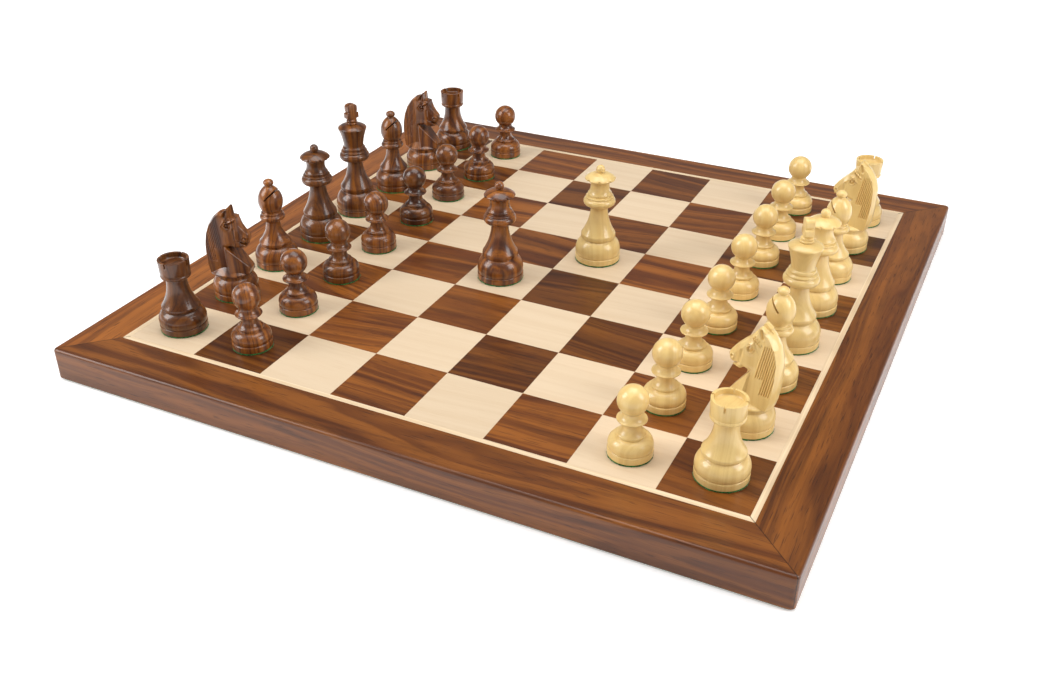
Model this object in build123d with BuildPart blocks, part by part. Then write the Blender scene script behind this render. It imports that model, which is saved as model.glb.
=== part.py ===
from build123d import *
import os
from math import radians, sin, sqrt, tan

os.makedirs("parts", exist_ok=True)

# Chess set with board, in millimetres. The origin is the middle of the board's underside,
# X runs along the files from a to h, Y along the ranks from 1 to 8 and Z up.

# ---------------------------------------------------------------- board dimensions
square = 57.15
files = 8
field = square * files
line_width = 4.0
board_size = 533.4
board_thick = 25.0
felt_thick = 1.0
backing_thick = 1.0
inlay_thick = 3.0
glue_gap = 0.05
rail_inner = field / 2 + line_width
rail_outer = board_size / 2
tongue_depth = 6.0
tongue_thick = 6.0
tongue_low = 8.5
tongue_clearance = 0.3
corner_round = 3.5
top_round = 2.2
bottom_round = 0.9
biscuit_long = 22.0
biscuit_wide = 14.0
biscuit_thick = 3.0
biscuit_low = 17.5
biscuit_middle = rail_inner + 18.0
base_felt_inset = 1.5

# ---------------------------------------------------------------- dimensions shared by the men
pad_thick = 1.0
pad_inset = 0.25
foot_top = 5.4
foot_corner = 0.3
groove_depth = 0.8
groove_wide = 0.8
lift_clear = 0.15
socket_deep = 6.0
socket_radius = 4.0
cross_tenon_radius = 1.9
cross_tenon_long = 4.0
kerf_wide = 1.2
centre_flat = 0.4


cross_thick = 6.2
cross_neck = 3.3
cross_span = 5.5
cross_waist = 3.6
cross_top_arm = 4.4
cross_height = 97.0


# ================================================================ board
with BuildPart() as blank:
    with Locations((0, 0, felt_thick)):
        Box(board_size, board_size, board_thick - felt_thick, align=(Align.CENTER, Align.CENTER, Align.MIN))
    fillet(blank.edges().filter_by(Axis.Z), corner_round)
    fillet(blank.faces().sort_by(Axis.Z)[-1].edges(), top_round)
    fillet(blank.faces().sort_by(Axis.Z)[0].edges(), bottom_round)


def ring_side(inner, outer, gap=0.0):
    """One mitred side of a square frame, the side that faces -Y."""
    with BuildSketch() as side:
        with BuildLine():
            Polyline(
                (-outer + gap, -outer),
                (outer - gap, -outer),
                (inner - gap, -inner),
                (-inner + gap, -inner),
                close=True,
            )
        make_face()
    return side.sketch


# The frame: four rails cut to mitres, grooved inside for the panel's tongue and at each end for a biscuit.
rail_plan = ring_side(rail_inner, rail_outer)
rail_turns = {"rail_front": 0, "rail_right": 90, "rail_back": 180, "rail_left": 270}
for rail_name, turn in rail_turns.items():
    with BuildPart() as rail:
        with BuildSketch(Plane.XY.offset(felt_thick)):
            add(rail_plan)
        extrude(amount=board_thick - felt_thick)
        add(blank.part, mode=Mode.INTERSECT)
        with Locations((0, 0, tongue_low - tongue_clearance / 2)):
            Box(
                2 * (rail_inner + tongue_depth + tongue_clearance),
                2 * (rail_inner + tongue_depth + tongue_clearance),
                tongue_thick + tongue_clearance,
                align=(Align.CENTER, Align.CENTER, Align.MIN),
                mode=Mode.SUBTRACT,
            )
        for side in (-1, 1):
            with Locations(Location((side * biscuit_middle, -biscuit_middle, biscuit_low), (0, 0, -side * 45))):
                Box(
                    biscuit_long,
                    biscuit_wide,
                    biscuit_thick,
                    align=(Align.CENTER, Align.CENTER, Align.MIN),
                    mode=Mode.SUBTRACT,
                )
    with BuildPart() as placed_rail:
        with Locations(Location((0, 0, 0), (0, 0, turn))):
            add(rail.part)
    placed_rail.part.label = rail_name
    export_step(placed_rail.part, f"parts/{rail_name}.step")

# The biscuits that lock the four mitres, hidden inside the corners.
with BuildPart() as mitre_biscuits:
    with Locations((0, 0, biscuit_low + biscuit_thick / 2)):
        with PolarLocations(biscuit_middle * 2**0.5, 4, start_angle=45):
            Box(biscuit_long - 2 * glue_gap, biscuit_wide - 2 * glue_gap, biscuit_thick - 2 * glue_gap)
mitre_biscuits.part.label = "mitre_biscuits"
export_step(mitre_biscuits.part, "parts/mitre_biscuits.step")

# The panel under the squares, with a tongue all round that sits in the rails' grooves.
panel_low = felt_thick + backing_thick
with BuildPart() as core_panel:
    with Locations((0, 0, panel_low)):
        Box(
            2 * rail_inner,
            2 * rail_inner,
            board_thick - inlay_thick - panel_low,
            align=(Align.CENTER, Align.CENTER, Align.MIN),
        )
    with Locations((0, 0, tongue_low)):
        Box(
            2 * (rail_inner + tongue_depth),
            2 * (rail_inner + tongue_depth),
            tongue_thick,
            align=(Align.CENTER, Align.CENTER, Align.MIN),
        )
core_panel.part.label = "core_panel"
export_step(core_panel.part, "parts/core_panel.step")

# The veneer on the panel's underside that keeps it from cupping.
with BuildPart() as backing_veneer:
    with Locations((0, 0, felt_thick)):
        Box(2 * rail_inner, 2 * rail_inner, backing_thick, align=(Align.CENTER, Align.CENTER, Align.MIN))
backing_veneer.part.label = "backing_veneer"
export_step(backing_veneer.part, "parts/backing_veneer.step")

# The felt sheet the board stands on.
with BuildPart() as base_felt:
    with BuildSketch():
        RectangleRounded(board_size - 2 * base_felt_inset, board_size - 2 * base_felt_inset, corner_round)
    extrude(amount=felt_thick)
base_felt.part.label = "base_felt"
export_step(base_felt.part, "parts/base_felt.step")


def square_middle(file, rank):
    """Middle of a square, counted from 0 at a1."""
    return ((file - (files - 1) / 2) * square, (rank - (files - 1) / 2) * square)


# The playing field: a1 and every other square from it are dark.
dark_spots = [square_middle(f, r) for f in range(files) for r in range(files) if (f + r) % 2 == 0]
light_spots = [square_middle(f, r) for f in range(files) for r in range(files) if (f + r) % 2 == 1]
for field_name, spots in (("dark_squares", dark_spots), ("light_squares", light_spots)):
    with BuildPart() as inlay:
        with BuildSketch(Plane.XY.offset(board_thick - inlay_thick)):
            with Locations(*spots):
                Rectangle(square - glue_gap, square - glue_gap)
        extrude(amount=inlay_thick)
    inlay.part.label = field_name
    export_step(inlay.part, f"parts/{field_name}.step")

# The pale line round the field, four strips mitred at the corners.
line_plan = ring_side(field / 2 + glue_gap, rail_inner - glue_gap, glue_gap)
with BuildPart() as border_line:
    with BuildSketch(Plane.XY.offset(board_thick - inlay_thick)):
        for turn in (0, 90, 180, 270):
            add(line_plan, rotation=turn)
    extrude(amount=inlay_thick)
border_line.part.label = "border_line"
export_step(border_line.part, "parts/border_line.step")


# ================================================================ turned men
# Every outline below is a list of lathe cuts, each (radius, height) with heights above the square the
# man stands on. Two numbers are a straight cut to that point. Four are a round cut, through the first
# point and ending at the second.

def ball_cuts(ball_r, ball_z, neck_r):
    """A ball centred on the axis, from the neck it stands on up to a tiny flat left by the lathe centre."""
    return [
        (neck_r, ball_z - sqrt(ball_r**2 - neck_r**2)),
        (ball_r, ball_z, centre_flat, ball_z + sqrt(ball_r**2 - centre_flat**2)),
        (0.0, ball_z + sqrt(ball_r**2 - centre_flat**2)),
    ]


def foot_cuts(foot_r, swell_r, swell_z, hollow_r, hollow_z):
    """The foot, its groove and the rounded swell up to the hollow, the same style on all the men."""
    return [
        (foot_r - foot_corner, pad_thick),
        (foot_r, pad_thick + foot_corner),
        (foot_r, foot_top),
        (foot_r - groove_depth, foot_top + groove_wide / 2),
        (swell_r - 0.35, foot_top + groove_wide),
        (swell_r, swell_z, hollow_r, hollow_z),
    ]


pawn_foot = 14.4
pawn_cuts = foot_cuts(pawn_foot, 14.25, 8.4, 8.9, 14.6) + [
    (9.15, 15.0),
    (9.15, 16.2),
    (8.9, 16.6),
    (6.15, 19.6, 5.6, 22.6),
    (5.6, 24.0, 6.4, 25.5),
    (9.2, 25.7),
    (9.55, 26.2, 9.25, 26.9),
    (7.1, 28.5, 6.1, 31.0),
] + ball_cuts(9.85, 39.4, 6.0)

rook_foot = 16.9
rook_rim_out = 11.1
rook_rim_in = 9.2
rook_top = 56.0
rook_cup_floor = 52.2
rook_cuts = foot_cuts(rook_foot, 17.0, 9.6, 12.8, 16.8) + [
    (12.9, 17.6),
    (13.8, 18.3),
    (13.6, 20.0),
    (9.1, 28.6, 7.5, 40.3),
    (7.6, 41.3, 8.1, 41.9),
    (10.3, 42.3),
    (10.8, 43.3, 10.45, 44.6),
    (10.35, 45.0),
    (10.65, 45.6),
    (rook_rim_out, rook_top),
    (rook_rim_in, rook_top),
    (rook_rim_in - 0.2, rook_cup_floor + 0.6),
    (rook_rim_in - 0.8, rook_cup_floor),
    (0.0, rook_cup_floor),
]

bishop_foot = 16.8
bishop_cuts = foot_cuts(bishop_foot, 16.9, 9.6, 11.6, 17.6) + [
    (11.7, 18.5),
    (12.5, 19.2),
    (12.3, 20.9),
    (7.1, 29.0, 5.5, 36.5),
    (5.6, 38.2, 6.4, 39.2),
    (9.8, 41.6, 8.3, 43.6),
    (8.0, 44.0),
    (8.35, 44.8, 7.6, 45.7),
    (6.9, 46.2),
    (9.55, 56.4, 3.0, 67.0),
    (2.9, 67.5),
    (4.05, 69.6, 2.9, 71.5),
    (1.8, 72.15, centre_flat, 72.5),
    (0.0, 72.5),
]
mitre_cut_angle = 48.0
mitre_cut_deep = 0.2
mitre_cut_low = 57.2

knight_foot = 16.9
knight_base_top = 19.4
knight_base_cuts = foot_cuts(knight_foot, 17.0, 9.6, 13.0, 16.9) + [
    (13.0, knight_base_top),
    (0.0, knight_base_top),
]

queen_foot = 18.0
coronet_rim = 12.15
coronet_low = 67.6
coronet_edge = 69.9
queen_cuts = foot_cuts(queen_foot, 17.9, 10.4, 13.0, 19.0) + [
    (13.1, 19.8),
    (13.9, 20.4),
    (13.7, 23.2),
    (9.1, 32.5, 6.6, 46.6),
    (6.7, 47.4, 7.4, 48.0),
    (12.6, 51.2, 10.9, 53.6),
    (10.6, 53.9),
    (11.0, 54.6, 10.4, 55.4),
    (9.2, 56.0),
    (9.6, 57.1, 9.0, 58.2),
    (7.6, 61.6, 8.3, coronet_low),
    (coronet_rim, coronet_edge - 0.3),
    (coronet_rim - 0.2, coronet_edge + 0.5),
    (8.2, 73.0, 3.0, 74.2),
    (2.6, 74.5),
] + ball_cuts(3.5, 77.0, 2.5)
coronet_flutes = 8
flute_radius = 1.5

king_foot = 18.5
crown_rim = 12.1
crown_edge = 76.4
crown_top = 79.4
king_cuts = foot_cuts(king_foot, 18.5, 10.6, 13.1, 20.0) + [
    (13.1, 21.4),
    (14.0, 22.2),
    (13.8, 24.4),
    (9.2, 32.6, 6.4, 47.2),
    (6.5, 48.1, 7.2, 48.7),
    (12.7, 51.8, 11.0, 54.4),
    (10.7, 54.7),
    (11.1, 55.6, 10.4, 56.6),
    (9.3, 57.2),
    (9.7, 58.4, 9.1, 59.6),
    (8.3, 60.1),
    (8.3, 61.4),
    (9.6, 68.6, crown_rim, crown_edge - 0.4),
    (crown_rim - 0.3, crown_edge + 0.4),
    (8.4, 78.7, 4.0, crown_top),
    (0.0, crown_top),
]
cross_ring_cuts = [
    (4.0, crown_top),
    (4.9, 80.3, 4.2, 81.2),
    (3.6, 81.6),
    (4.5, 82.4, 3.9, 83.2),
    (3.4, 83.8),
    (0.0, 83.8),
]


def turned(cuts, start):
    """One outline turned round the vertical axis, from the height of its underside."""
    with BuildPart() as body:
        with BuildSketch(Plane.XZ):
            with BuildLine():
                here = (0.0, start)
                for cut in cuts:
                    if len(cut) == 2:
                        Line(here, cut)
                    else:
                        ThreePointArc(here, cut[:2], cut[2:])
                    here = cut[-2:]
                Line(here, (0.0, start))
            make_face()
        revolve(axis=Axis.Z)
    return body.part


def felt_pad(foot_r):
    """The felt glued under a man, its own solid below a hair of glue."""
    with BuildPart() as pad:
        with BuildSketch():
            Circle(foot_r - pad_inset)
        extrude(amount=pad_thick - glue_gap)
    return pad.part


def plan_prism(plan, low, high):
    """A tall prism of one plan outline, given as half widths either side of the middle."""
    with BuildPart() as prism:
        with BuildSketch(Plane.XY.offset(low)):
            with BuildLine():
                Polyline(*plan, *[(forward, -half) for forward, half in reversed(plan)], close=True)
            make_face()
        extrude(amount=high - low)
    return prism.part


# ---------------------------------------------------------------- the six kinds, each built once
with BuildPart() as pawn:
    add(turned(pawn_cuts, pad_thick))
    add(felt_pad(pawn_foot))

with BuildPart() as rook:
    add(turned(rook_cuts, pad_thick))
    # Four saw kerfs across the rim, deeper outside than inside, as a round blade leaves them.
    with PolarLocations(21.5, 4, start_angle=35):
        with Locations(Location((0, 0, 62.4), (90, 0, 0))):
            Cylinder(15.0, kerf_wide, mode=Mode.SUBTRACT)
    add(felt_pad(rook_foot))

with BuildPart() as bishop:
    add(turned(bishop_cuts, pad_thick))
    # The slanting saw cut in the mitre, open towards the front.
    with Locations(Location((mitre_cut_deep, 0, mitre_cut_low), (0, -mitre_cut_angle, 0))):
        Box(
            14.0,
            30.0,
            kerf_wide,
            align=(Align.MIN, Align.CENTER, Align.CENTER),
            mode=Mode.SUBTRACT,
        )
    add(felt_pad(bishop_foot))

with BuildPart() as queen:
    add(turned(queen_cuts, pad_thick))
    # Scoops round the coronet's rim, which leave one lobe between each two.
    with Locations((0, 0, coronet_low - 1.0)):
        with PolarLocations(coronet_rim + flute_radius * 0.4, coronet_flutes):
            Cylinder(
                flute_radius,
                5.0,
                align=(Align.CENTER, Align.CENTER, Align.MIN),
                mode=Mode.SUBTRACT,
            )
    add(felt_pad(queen_foot))

with BuildPart() as king:
    add(turned(king_cuts, pad_thick))
    # The socket that the cross's tenon is glued into.
    with Locations((0, 0, crown_top)):
        Cylinder(
            cross_tenon_radius + lift_clear,
            cross_tenon_long + lift_clear,
            align=(Align.CENTER, Align.CENTER, Align.MAX),
            mode=Mode.SUBTRACT,
        )
    add(felt_pad(king_foot))

with BuildPart() as king_cross:
    add(turned(cross_ring_cuts, crown_top))
    with BuildSketch(Plane.YZ.offset(-cross_thick / 2)):
        with BuildLine():
            Polyline(
                (cross_neck, 83.2),
                (cross_neck, 83.9),
                (cross_span - 0.5, 84.5),
                (cross_span, 85.2),
                (cross_span, 88.6),
                (cross_span - 0.6, 89.4),
                (cross_waist, 90.0),
                (cross_top_arm, 91.2),
                (cross_top_arm, 95.0),
            )
            ThreePointArc((cross_top_arm, 95.0), (0, cross_height), (-cross_top_arm, 95.0))
            Polyline(
                (-cross_top_arm, 95.0),
                (-cross_top_arm, 91.2),
                (-cross_waist, 90.0),
                (-cross_span + 0.6, 89.4),
                (-cross_span, 88.6),
                (-cross_span, 85.2),
                (-cross_span + 0.5, 84.5),
                (-cross_neck, 83.9),
                (-cross_neck, 83.2),
            )
            Line((-cross_neck, 83.2), (cross_neck, 83.2))
        make_face()
    extrude(amount=cross_thick)
    with Locations((0, 0, crown_top - cross_tenon_long)):
        Cylinder(
            cross_tenon_radius,
            cross_tenon_long,
            align=(Align.CENTER, Align.CENTER, Align.MIN),
        )

with BuildPart() as knight_base:
    add(turned(knight_base_cuts, pad_thick))
    with Locations((0, 0, knight_base_top)):
        Cylinder(
            socket_radius + lift_clear,
            socket_deep + lift_clear,
            align=(Align.CENTER, Align.CENTER, Align.MAX),
            mode=Mode.SUBTRACT,
        )
    add(felt_pad(knight_foot))

# Each horse's side outline, front to +X, in four runs that follow one another: back, ear, nose, and
# throat with chest. The pale horse carries his ears further back and his nose lower than the dark one.
pale_horse = (
    [
        (-15.6, 21.0),
        (-17.0, 25.5),
        (-18.0, 34.0),
        (-18.4, 44.0),
        (-18.1, 54.0),
        (-15.6, 62.5),
        (-11.2, 69.2),
        (-7.6, 72.2),
    ],
    [(-7.6, 72.2), (-3.6, 75.4), (-2.4, 74.8), (-1.2, 69.4), (1.4, 69.2), (2.0, 68.4)],
    [(2.0, 68.4), (6.0, 63.4), (10.6, 58.8), (14.6, 54.0), (16.6, 49.6), (15.2, 45.4)],
    [
        (15.2, 45.4),
        (9.4, 46.8),
        (9.4, 46.2),
        (13.6, 43.9),
        (13.2, 42.2),
        (9.0, 41.8),
        (4.4, 45.6),
        (0.0, 44.2),
        (13.6, 25.2),
        (14.6, 23.4),
        (14.2, 21.0),
        (-15.6, 21.0),
    ],
)
dark_horse = (
    [
        (-16.2, 21.0),
        (-17.8, 27.0),
        (-18.4, 36.0),
        (-18.2, 43.5),
        (-17.0, 51.0),
        (-14.2, 58.2),
        (-9.8, 64.4),
        (-5.2, 68.2),
    ],
    [(-5.2, 68.2), (-2.0, 67.8), (2.4, 72.4), (3.4, 71.8), (4.0, 65.2), (7.6, 65.2), (8.4, 64.2)],
    [(8.4, 64.2), (10.0, 60.2), (13.2, 55.6), (16.4, 52.4), (17.0, 49.4), (15.6, 45.4)],
    [
        (15.6, 45.4),
        (10.4, 46.4),
        (10.4, 45.8),
        (14.4, 43.4),
        (13.8, 41.6),
        (9.4, 40.7),
        (4.8, 43.2),
        (-0.6, 42.4),
        (14.8, 26.4),
        (15.6, 24.6),
        (14.8, 21.0),
        (-16.2, 21.0),
    ],
)
# Half of the horse seen from the front, narrowing evenly from the skirt to the ears.
neck_low, neck_high = 21.0, 76.5
neck_half_low, neck_half_high = 8.9, 5.4
# Half of the horse seen from above: (forward, half width). The head narrows to the muzzle, the chest
# comes to a ridge and the back is bevelled to the crest.
head_plan = [(-18.8, 2.6), (-16.6, 9.2), (4.0, 9.2), (10.5, 5.4), (18.0, 4.0)]
chest_plan = [(-18.8, 2.6), (-16.6, 9.2), (3.2, 9.2), (17.2, 0.8)]
head_starts = 40.5
# The skirt that the neck rises from: a disc with a sloping top.
disc_radius = 15.8
disc_top = 25.6
disc_cuts = [
    (disc_radius - 0.6, knight_base_top),
    (disc_radius, knight_base_top + 0.6),
    (disc_radius - 0.8, 21.2),
    (9.4, disc_top),
    (0.0, disc_top),
]
carve_deep = 0.7
# Mane grooves: the front ones end at a step, the rest run further down.
mane_grooves, front_grooves = 9, 4
mane_pitch = 1.42
mane_lean = 8.5
mane_front, mane_step, mane_end, mane_crest = -4.3, 41.0, 30.5, 64.5
groove_line = 0.55
eye_spot = (1.7, 59.0)
nostril_spot = (13.8, 49.2)


def carved_horse(outline, cleft_back):
    """A slab sawn to the outline, thinned towards the ears, then carved. cleft_back is where the ears start."""
    back, ear, nose, throat = outline
    with BuildPart() as plan:
        add(plan_prism(chest_plan, 0.0, head_starts))
        add(plan_prism(head_plan, head_starts, neck_high + 10.0))
    with BuildPart() as horse:
        with BuildSketch(Plane.XZ.offset(-15.0)):
            with BuildLine():
                Spline(*back)
                Polyline(*ear)
                Spline(*nose)
                Polyline(*throat)
            make_face()
        extrude(amount=30.0)
        with BuildSketch(Plane.YZ.offset(-25.0)):
            with BuildLine():
                Polyline(
                    (-neck_half_low, neck_low),
                    (neck_half_low, neck_low),
                    (neck_half_high, neck_high),
                    (-neck_half_high, neck_high),
                    close=True,
                )
            make_face()
        extrude(amount=50.0, mode=Mode.INTERSECT)
        add(plan.part, mode=Mode.INTERSECT)
        # The cleft between the ears.
        with BuildSketch(Plane.YZ.offset(cleft_back)):
            with BuildLine():
                Polyline((0, ear[0][1] - 2.0), (2.3, 80.0), (-2.3, 80.0), close=True)
            make_face()
        extrude(amount=25.0, mode=Mode.SUBTRACT)
        # Mane grooves and eye rings, sunk into each flat side.
        for side in (-1, 1):
            side_plane = Plane(
                origin=(0, side * neck_half_low, neck_low),
                x_dir=(1, 0, 0),
                z_dir=(0, side * (neck_high - neck_low), neck_half_low - neck_half_high),
            )
            up = -side
            with BuildSketch(side_plane):
                for i in range(mane_grooves):
                    low = mane_step if i < front_grooves else mane_end
                    high = mane_crest - 1.1 * max(0, i - 3)
                    middle = (low + high) / 2
                    forward = mane_front - i * mane_pitch - (middle - mane_step) * tan(radians(mane_lean))
                    with Locations(Location((forward, up * (middle - neck_low)), up * mane_lean)):
                        Rectangle(groove_line, high - low)
                with Locations((eye_spot[0], up * (eye_spot[1] - neck_low))):
                    Circle(2.7)
                    Circle(2.1, mode=Mode.SUBTRACT)
                    Circle(1.3)
                    Circle(0.7, mode=Mode.SUBTRACT)
            extrude(amount=-carve_deep, mode=Mode.SUBTRACT)
        with Locations(Location((nostril_spot[0], 0, nostril_spot[1]), (90, 0, 0))):
            for side in (-1, 1):
                with Locations((0, 0, side * 6.4)):
                    Cylinder(0.9, 4.0, mode=Mode.SUBTRACT)
    return horse.part


def knight_head(outline, cleft_back):
    """The horse on his skirt, with the tenon that is glued into the base."""
    with BuildPart() as head:
        add(turned(disc_cuts, knight_base_top))
        add(carved_horse(outline, cleft_back))
        with Locations((0, 0, knight_base_top)):
            Cylinder(
                socket_radius,
                socket_deep,
                align=(Align.CENTER, Align.CENTER, Align.MAX),
            )
    return head.part


with BuildPart() as pale_head:
    add(knight_head(pale_horse, -8.2))
with BuildPart() as dark_head:
    add(knight_head(dark_horse, -2.6))


# ---------------------------------------------------------------- where each man stands
# kind, file, rank, slip from the square's middle along X and Y, and which way the front is turned.
kinds = {
    "pawn": {"": pawn},
    "rook": {"": rook},
    "bishop": {"": bishop},
    "queen": {"": queen},
    "king": {"": king, "_cross": king_cross},
    "pale_knight": {"_base": knight_base, "_head": pale_head},
    "dark_knight": {"_base": knight_base, "_head": dark_head},
}
standing = {
    "white_rook_a": ("rook", 0, 0, 0.6, -2.3, 57),
    "white_knight_b": ("pale_knight", 1, 0, 0.6, -1.3, 80),
    "white_bishop_c": ("bishop", 2, 0, 0.7, -1.4, 94),
    "white_king": ("king", 3, 0, 0.4, -0.8, 116),
    "white_queen": ("queen", 4, 0, 0.0, -1.0, 90),
    "white_bishop_f": ("bishop", 5, 0, -0.3, -0.9, 84),
    "white_knight_g": ("pale_knight", 6, 0, 0.5, -1.1, 85),
    "white_rook_h": ("rook", 7, 0, -0.2, -1.2, 44),
    "white_pawn_a": ("pawn", 0, 1, -2.3, -2.3, 20),
    "white_pawn_b": ("pawn", 1, 1, 0.0, -2.6, 75),
    "white_pawn_c": ("pawn", 2, 1, -0.6, -2.4, 140),
    "white_pawn_d": ("pawn", 3, 1, -0.8, -2.6, 215),
    "white_pawn_e": ("pawn", 4, 1, -1.6, -2.6, 310),
    "white_pawn_f": ("pawn", 5, 1, 0.3, -2.4, 45),
    "white_pawn_g": ("pawn", 6, 1, -2.6, -2.2, 165),
    "white_pawn_h": ("pawn", 7, 1, -2.4, -1.8, 260),
    "white_queen_spare": ("queen", 4, 3, 5.1, 4.0, 62),
    "black_rook_a": ("rook", 0, 7, -1.1, 2.3, -28),
    "black_knight_b": ("dark_knight", 1, 7, 0.2, 0.4, -76),
    "black_bishop_c": ("bishop", 2, 7, -1.6, 3.2, -86),
    "black_queen": ("queen", 3, 7, 0.4, 0.9, -80),
    "black_king": ("king", 4, 7, -0.5, 1.1, -113),
    "black_bishop_f": ("bishop", 5, 7, 0.3, -0.6, -92),
    "black_knight_g": ("dark_knight", 6, 7, 0.6, 0.8, -84),
    "black_rook_h": ("rook", 7, 7, 0.3, 0.7, -62),
    "black_pawn_a": ("pawn", 0, 6, 0.0, -1.1, 130),
    "black_pawn_b": ("pawn", 1, 6, 0.6, 0.6, 20),
    "black_pawn_c": ("pawn", 2, 6, 0.6, 0.6, 250),
    "black_pawn_d": ("pawn", 3, 6, 1.1, 2.3, 80),
    "black_pawn_e": ("pawn", 4, 6, 4.0, 1.7, 300),
    "black_pawn_f": ("pawn", 5, 6, 2.9, 1.7, 170),
    "black_pawn_g": ("pawn", 6, 6, -0.6, -1.7, 35),
    "black_pawn_h": ("pawn", 7, 6, 1.7, 0.6, 220),
    "black_queen_spare": ("queen", 3, 4, -1.1, 2.9, 12),
}
for man_name, (kind, file, rank, slip_x, slip_y, turn) in standing.items():
    middle = square_middle(file, rank)
    for piece_name, built in kinds[kind].items():
        with BuildPart() as man:
            with Locations(Location((middle[0] + slip_x, middle[1] + slip_y, board_thick), (0, 0, turn))):
                add(built.part)
        man.part.label = man_name + piece_name
        export_step(man.part, f"parts/{man_name}{piece_name}.step")
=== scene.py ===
# %% [markdown]
# # A chess set standing on its inlaid board
#
# The set is a wooden board with squares of two and a quarter inches and a mitred frame, thirty-two
# turned and carved men and two spare queens. The measured model is already packed, with each man free
# to be lifted off his square. This lesson dresses that frame: it keeps the joinery of the board and gives it
# veneers, and it turns and carves each man again with softer edges and finer detail.
#
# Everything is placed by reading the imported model, so nothing here has to be fitted by eye.

import math

import bmesh
import bpy
import numpy as np
from mathutils import Matrix, Vector, geometry


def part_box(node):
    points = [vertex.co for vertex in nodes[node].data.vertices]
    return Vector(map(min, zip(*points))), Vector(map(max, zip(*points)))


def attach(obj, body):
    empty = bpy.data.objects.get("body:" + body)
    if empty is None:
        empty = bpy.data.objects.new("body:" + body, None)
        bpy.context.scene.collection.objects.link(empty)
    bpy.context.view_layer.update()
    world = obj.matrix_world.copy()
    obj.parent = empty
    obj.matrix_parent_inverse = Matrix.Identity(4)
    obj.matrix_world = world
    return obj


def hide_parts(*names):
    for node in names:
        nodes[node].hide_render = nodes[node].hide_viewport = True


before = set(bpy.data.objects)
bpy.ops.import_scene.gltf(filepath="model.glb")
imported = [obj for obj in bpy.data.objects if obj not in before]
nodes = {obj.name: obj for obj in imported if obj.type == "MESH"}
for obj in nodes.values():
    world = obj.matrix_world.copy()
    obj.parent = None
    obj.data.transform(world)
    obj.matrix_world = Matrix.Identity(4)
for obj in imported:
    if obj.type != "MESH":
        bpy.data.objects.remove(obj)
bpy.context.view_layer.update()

# %% [markdown]
# ## Units and the board's own grid
#
# A maker works in millimetres and Blender in metres, so one factor turns one into the other. The
# squares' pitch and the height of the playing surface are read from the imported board.

# %% Measure the board
MM = 0.001
squares_low, squares_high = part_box("light_squares")
square_pitch = (squares_high.x - squares_low.x) / 8
board_top = squares_high.z
print("square", round(square_pitch / MM, 2), "mm, playing surface at", round(board_top / MM, 2), "mm")

# %% [markdown]
# ## A short way to write nodes
#
# A material is a small machine of nodes. `wire` makes one node, fills or links its inputs, and gives the
# node back. `calc`, `vector_calc` and `noise` do the same for one step of arithmetic or one texture, so
# that a material reads as a list of steps.


# %% Node helpers
def wire(tree, kind, feeds=None, **settings):
    node = tree.nodes.new(kind)
    for key, value in settings.items():
        setattr(node, key, value)
    for key, feed in (feeds or {}).items():
        if isinstance(feed, bpy.types.NodeSocket):
            tree.links.new(feed, node.inputs[key])
        else:
            node.inputs[key].default_value = feed
    return node


def calc(tree, operation, *values, clamp=False):
    feeds = dict(enumerate(values))
    return wire(tree, "ShaderNodeMath", feeds, operation=operation, use_clamp=clamp).outputs[0]


def vector_calc(tree, operation, *values):
    return wire(tree, "ShaderNodeVectorMath", dict(enumerate(values)), operation=operation).outputs[0]


def scaled(tree, vector, factor):
    return wire(tree, "ShaderNodeVectorMath", {0: vector, "Scale": factor}, operation="SCALE").outputs[0]


def length_of(tree, vector):
    return wire(tree, "ShaderNodeVectorMath", {0: vector}, operation="LENGTH").outputs["Value"]


def noise(tree, place, scale, detail, **more):
    feeds = {"Vector": place, "Scale": scale, "Detail": detail, **more}
    return wire(tree, "ShaderNodeTexNoise", feeds).outputs


def axes_of(tree, vector):
    return wire(tree, "ShaderNodeSeparateXYZ", {0: vector}).outputs


def from_axes(tree, x, y, z):
    return wire(tree, "ShaderNodeCombineXYZ", {0: x, 1: y, 2: z}).outputs[0]


def blend_colours(tree, share, first, second):
    return wire(tree, "ShaderNodeMix", {0: share, 6: first, 7: second}, data_type="RGBA").outputs[2]


def between_values(tree, share, first, second):
    return wire(tree, "ShaderNodeMix", {0: share, 2: first, 3: second}, data_type="FLOAT").outputs[0]


def graded(tree, value, low, high, at_low, at_high, **settings):
    feeds = {0: value, 1: low, 2: high, 3: at_low, 4: at_high}
    return wire(tree, "ShaderNodeMapRange", feeds, **settings).outputs[0]


def ramp(tree, value, low, high, at_low=0.0, at_high=1.0):
    """Like graded, but easing in and out."""
    return graded(tree, value, low, high, at_low, at_high, interpolation_type="SMOOTHSTEP")


def new_group(name, inputs, outputs):
    """An empty node group. inputs and outputs are (socket name, kind, first value)."""
    group = bpy.data.node_groups.new(name, "ShaderNodeTree")
    for direction, sockets in (("INPUT", inputs), ("OUTPUT", outputs)):
        for label, kind, value in sockets:
            socket = group.interface.new_socket(label, in_out=direction, socket_type="NodeSocket" + kind)
            if value is not None:
                socket.default_value = value
    return group, wire(group, "NodeGroupInput").outputs, wire(group, "NodeGroupOutput").inputs


print("node helpers ready")

# %% [markdown]
# ## Wood figure
#
# Sawn wood shows three scales at once: growth rings that wander across the face, long colour streaks,
# and short dark pores that run with the fibres. All the woods here share that pattern and differ in
# colour, ring width and how strong each part is, so it is one group with named inputs. The incoming
# vector has the grain along Z. Rings are distances from a pith line outside the piece, read through a
# one-dimensional noise so that no two rings are alike.


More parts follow.
